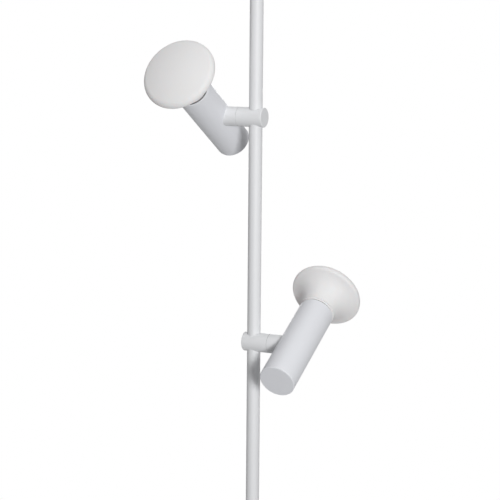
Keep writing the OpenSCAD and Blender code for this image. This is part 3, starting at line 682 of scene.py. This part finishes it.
def wind_spring():
    """Winds the ceiling spring: one closed turn at each end and an even pitch between."""
    settings = bpy.context.scene.tension_lamp.spring
    low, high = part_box("spring")
    s = Shape("ceiling_spring_winding")
    turns = s.size("Turns", float(settings.turns))
    wire = s.size("Wire", settings.wire)
    radius = s.size("Coil radius", (settings.outside - settings.wire) / 2)
    end_rise = s.size("End rise", settings.wire + settings.end_gap)
    tall = s.size("Wound height", high.z - low.z - settings.wire)
    line = s.add("GeometryNodeCurvePrimitiveLine", {"mode": "POINTS"}, {"End": (0.0, 0.0, 1.0)})
    steps = settings.turns * TURN_STEPS + 1
    line = s.add("GeometryNodeResampleCurve", {}, {"Curve": line, "Count": steps})
    turn = s.add("GeometryNodeSplineParameter") * turns
    pitch = (tall - end_rise * 2) / (turns - 2)
    middle = (turn - 1).most(0.0).least(turns - 2)
    up = turn.least(1.0) * end_rise + middle * pitch + (turn - turns + 1).most(0.0) * end_rise
    turned = turn * (2 * math.pi)
    point = s.vector(turned.cos() * radius, turned.sin() * radius, up + wire / 2)
    path = s.add("GeometryNodeSetPosition", {}, {"Geometry": line, "Position": point})
    inputs = {"Resolution": WIRE_SIDES, "Radius": wire / 2}
    section = s.add("GeometryNodeCurvePrimitiveCircle", {"mode": "RADIUS"}, inputs)
    inputs = {"Curve": path, "Profile Curve": section, "Fill Caps": True}
    coil = s.add("GeometryNodeCurveToMesh", {}, inputs)
    mesh = s.mesh(coil, Matrix.Translation((0.0, 0.0, low.z)), finish_of("spring_steel"))
    round_off(mesh, 50)
    piece = place_piece("ceiling_spring", mesh, "extension", ["spring"])
    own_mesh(piece)


def set_leds(side):
    """Sets the LEDs on a board: white bodies in a ring, each with its phosphor window."""
    leds = bpy.context.scene.tension_lamp.leds
    place, solids = head_place(side), frame["nodes"][side + "_leds"].data
    low = min((place.inverted() @ v.co).z for v in solids.vertices)
    s = Shape(side + "_led_setting")
    width, tall = s.size("Width", leds.width), s.size("Height", leds.height)
    ring, count = s.size("Ring radius", leds.ring), s.size("Count", leds.count)
    body = s.add("GeometryNodeMeshCube", {}, {"Size": s.vector(width, width, tall)})
    body = s.set_material(s.raised(body, tall / 2), finish_of("phosphor"))
    inputs = {"Vertices": 24, "Radius": width * 0.4, "Depth": tall * 0.06}
    window = s.add("GeometryNodeMeshCylinder", {"fill_type": "NGON"}, inputs)
    window = s.set_material(s.raised(window, tall * 0.99), finish_of("led_window"))
    chip = s.join(body, window)
    circle = s.add("GeometryNodeMeshCircle", {}, {"Vertices": count, "Radius": ring})
    turn = s.add("GeometryNodeInputIndex") * (2 * math.pi) / count
    inputs = {"Points": circle, "Instance": chip, "Rotation": s.vector(0.0, 0.0, turn)}
    chips = s.join(s.add("GeometryNodeInstanceOnPoints", {}, inputs), chip)
    mesh = s.mesh(chips, place @ Matrix.Translation((0.0, 0.0, low)))
    place_piece(side + "_led_chips", mesh, side + "_head", [side + "_leds"])


# ---- studio ----


def studio_background():
    """White to the camera and in gloss and glass, softer as a light on the lamp."""
    world = bpy.data.worlds.new("studio")
    world.use_nodes = True
    bpy.context.scene.world = world
    w = Nodes(world.node_tree)
    ambient = bpy.context.scene.tension_lamp.stage.ambient
    inputs = {"Color": (1.0, 1.0, 1.0, 1.0), "Strength": w.seen() * (1.0 - ambient) + ambient}
    light = w.add("ShaderNodeBackground", {}, inputs)
    w.add("ShaderNodeOutputWorld", {}, {"Surface": light})


def studio_floor():
    """A pale round floor that keeps the lamp's shadow and fades into the white at its rim."""
    turns = [2 * math.pi * k / FLOOR_SIDES for k in range(FLOOR_SIDES)]
    ring = [(FLOOR_RADIUS * math.cos(t), FLOOR_RADIUS * math.sin(t), 0.0) for t in turns]
    mesh = bpy.data.meshes.new("studio_floor")
    mesh.from_pydata(ring, [], [list(range(FLOOR_SIDES))])
    f = Finish("floor_white")
    x, y = f.split(f.place)
    fade = (((x * x + y * y) ** 0.5 - FLOOR_PLAIN) / FLOOR_FADE).clamp()
    matt = f.add("ShaderNodeBsdfDiffuse", {}, {"Color": (FLOOR_TONE,) * 3 + (1.0,)})
    glow = f.add("ShaderNodeEmission", {}, {"Strength": FLOOR_GLOW})
    pale = f.add("ShaderNodeAddShader", {}, (matt, glow))
    white = f.add("ShaderNodeEmission", {}, {"Strength": 1.0})
    shown = f.add("ShaderNodeMixShader", {}, (fade, pale, white))
    mixed = f.add("ShaderNodeMixShader", {}, (f.seen(), matt, shown))
    f.add("ShaderNodeOutputMaterial", {}, {"Surface": mixed})
    mesh.materials.append(f.material)
    put_in_scene(bpy.data.objects.new("studio_floor", mesh))


def studio_lamp(name, azimuth, elevation, size, power):
    """A square soft light that faces the heads. Azimuth 0 is the camera's side, 90 its right."""
    aim = Vector((0.0, 0.0, AIM_HEIGHT))
    a, e = math.radians(azimuth), math.radians(elevation)
    away = Vector((math.sin(a) * math.cos(e), -math.cos(a) * math.cos(e), math.sin(e)))
    light = bpy.data.lights.new(name, "AREA")
    light.shape, light.size, light.energy = "SQUARE", size, power
    lamp = put_in_scene(bpy.data.objects.new(name, light))
    lamp.location = aim + away * LIGHT_DISTANCE
    lamp.rotation_euler = away.to_track_quat("Z", "Y").to_euler()


def studio_camera():
    """The camera at the photograph's place."""
    stage = bpy.context.scene.tension_lamp.stage
    yaw, pitch, roll = stage.yaw, stage.pitch, stage.roll
    ahead = Vector(
        (math.sin(yaw) * math.cos(pitch), math.cos(yaw) * math.cos(pitch), math.sin(pitch))
    )
    level = Vector((math.cos(yaw), -math.sin(yaw), 0.0))
    upright = level.cross(ahead)
    right = level * math.cos(roll) + upright * math.sin(roll)
    up = upright * math.cos(roll) - level * math.sin(roll)
    data = bpy.data.cameras.new("camera")
    data.lens, data.sensor_width, data.clip_end = stage.lens, 36.0, 100.0
    camera = put_in_scene(bpy.data.objects.new("camera", data))
    camera.matrix_world = Matrix.Translation((0.0, -stage.distance, stage.height)) @ (
        Matrix((right, up, -ahead)).transposed().to_4x4()
    )
    bpy.context.scene.camera = camera


# ---- operators ----


class LAMP_OT_pole(bpy.types.Operator):
    """Finishes the pole, its joints, the foot and the cable inside"""

    bl_idname = "lamp.pole"
    bl_label = "Pole and foot"

    def execute(self, context):
        apply_finish(
            ["floor_pad", "foot", "lower_pole", "middle_pole", "upper_pole", "pole_couplers"]
            + ["set_screws", "cable_inlet", "pole_cable"]
        )
        return {"FINISHED"}


class LAMP_OT_height_lock(bpy.types.Operator):
    """Finishes the sliding extension, its lock and the ceiling end"""

    bl_idname = "lamp.height_lock"
    bl_label = "Height lock and ceiling end"

    def execute(self, context):
        apply_finish(
            ["pole_bush", "lock_collar", "thumb_screw", "extension_tube", "slider_plugs"]
            + ["slider_pins", "spring_sleeve", "sleeve_bush", "ceiling_plate", "plate_screw"]
            + ["ceiling_pad"]
        )
        return {"FINISHED"}


class LAMP_OT_spring(bpy.types.Operator):
    """Winds the ceiling spring, which is squeezed when the lamp is braced"""

    bl_idname = "lamp.spring"
    bl_label = "Ceiling spring"

    def execute(self, context):
        wind_spring()
        return {"FINISHED"}


class LAMP_OT_arms(bpy.types.Operator):
    """Finishes both arms and the swivel inside them"""

    bl_idname = "lamp.arms"
    bl_label = "Arms and swivels"

    def execute(self, context):
        pieces = ["glide_rings", "tilt_bolt", "spring_washer", "swivel_nut", "stop_pin", "lead"]
        apply_finish([f"{side}_{piece}" for side in SIDES for piece in pieces])
        apply_finish([f"{side}_arm" for side in SIDES], "paint_seam_shade")
        return {"FINISHED"}


class LAMP_OT_heads(bpy.types.Operator):
    """Finishes both head tubes and what is inside them"""

    bl_idname = "lamp.heads"
    bl_label = "Head tubes"

    def execute(self, context):
        pieces = ["head_tube", "saddle", "end_cap", "driver", "heat_sink", "led_board"]
        pieces += ["board_screws", "reflector", "seal_ring"]
        apply_finish([f"{side}_{piece}" for side in SIDES for piece in pieces])
        apply_finish([f"{side}_stub" for side in SIDES], "paint_seam_shade")
        return {"FINISHED"}


class LAMP_OT_leds(bpy.types.Operator):
    """Sets the LEDs on both boards"""

    bl_idname = "lamp.leds"
    bl_label = "Light sources"

    def execute(self, context):
        for side in SIDES:
            set_leds(side)
        return {"FINISHED"}


class LAMP_OT_diffusers(bpy.types.Operator):
    """Turns both opal diffusers"""

    bl_idname = "lamp.diffusers"
    bl_label = "Diffusers"

    def execute(self, context):
        for side in SIDES:
            turn_diffuser(side)
        return {"FINISHED"}


class LAMP_OT_studio(bpy.types.Operator):
    """Builds the plain white studio, its lights and the camera"""

    bl_idname = "lamp.studio"
    bl_label = "Studio"

    def execute(self, context):
        stage = context.scene.tension_lamp.stage
        context.scene.view_settings.view_transform = "Standard"
        studio_background()
        studio_floor()
        studio_lamp("key", azimuth=14.0, elevation=5.0, size=0.5, power=stage.key)
        studio_lamp("top", azimuth=0.0, elevation=80.0, size=2.0, power=stage.top)
        studio_lamp("back", azimuth=180.0, elevation=6.0, size=1.0, power=stage.back)
        studio_camera()
        return {"FINISHED"}


OPERATORS = (
    LAMP_OT_pole,
    LAMP_OT_height_lock,
    LAMP_OT_spring,
    LAMP_OT_arms,
    LAMP_OT_heads,
    LAMP_OT_leds,
    LAMP_OT_diffusers,
    LAMP_OT_studio,
)


class LAMP_PT_panel(bpy.types.Panel):
    """Lists the lamp's operators and settings"""

    bl_idname = "LAMP_PT_panel"
    bl_label = "Tension Pole Lamp"
    bl_space_type = "VIEW_3D"
    bl_region_type = "UI"
    bl_category = "Lamp"

    def draw(self, context):
        column = self.layout.column()
        for operator in OPERATORS:
            column.operator(operator.bl_idname)
        lamp = context.scene.tension_lamp
        for group in (lamp.finish, lamp.heads, lamp.diffuser, lamp.spring, lamp.leds, lamp.stage):
            box = column.box()
            for name in group.bl_rna.properties.keys():
                if name not in ("rna_type", "name"):
                    box.prop(group, name)


CLASSES = (
    FinishSettings,
    HeadSettings,
    DiffuserSettings,
    SpringSettings,
    LedSettings,
    StageSettings,
    LampSettings,
    *OPERATORS,
    LAMP_PT_panel,
)


def register():
    """Registers the classes and hangs the lamp's settings on the scene."""
    for cls in CLASSES:
        bpy.utils.register_class(cls)
    bpy.types.Scene.tension_lamp = PointerProperty(type=LampSettings)


def unregister():
    """Takes the settings and the classes out again."""
    del bpy.types.Scene.tension_lamp
    for cls in reversed(CLASSES):
        bpy.utils.unregister_class(cls)


def main():
    """Builds the lamp and its studio."""
    register()
    bpy.ops.lamp.pole()
    bpy.ops.lamp.height_lock()
    bpy.ops.lamp.spring()
    bpy.ops.lamp.arms()
    bpy.ops.lamp.heads()
    bpy.ops.lamp.leds()
    bpy.ops.lamp.diffusers()
    bpy.ops.lamp.studio()


if __name__ == "__main__":
    main()
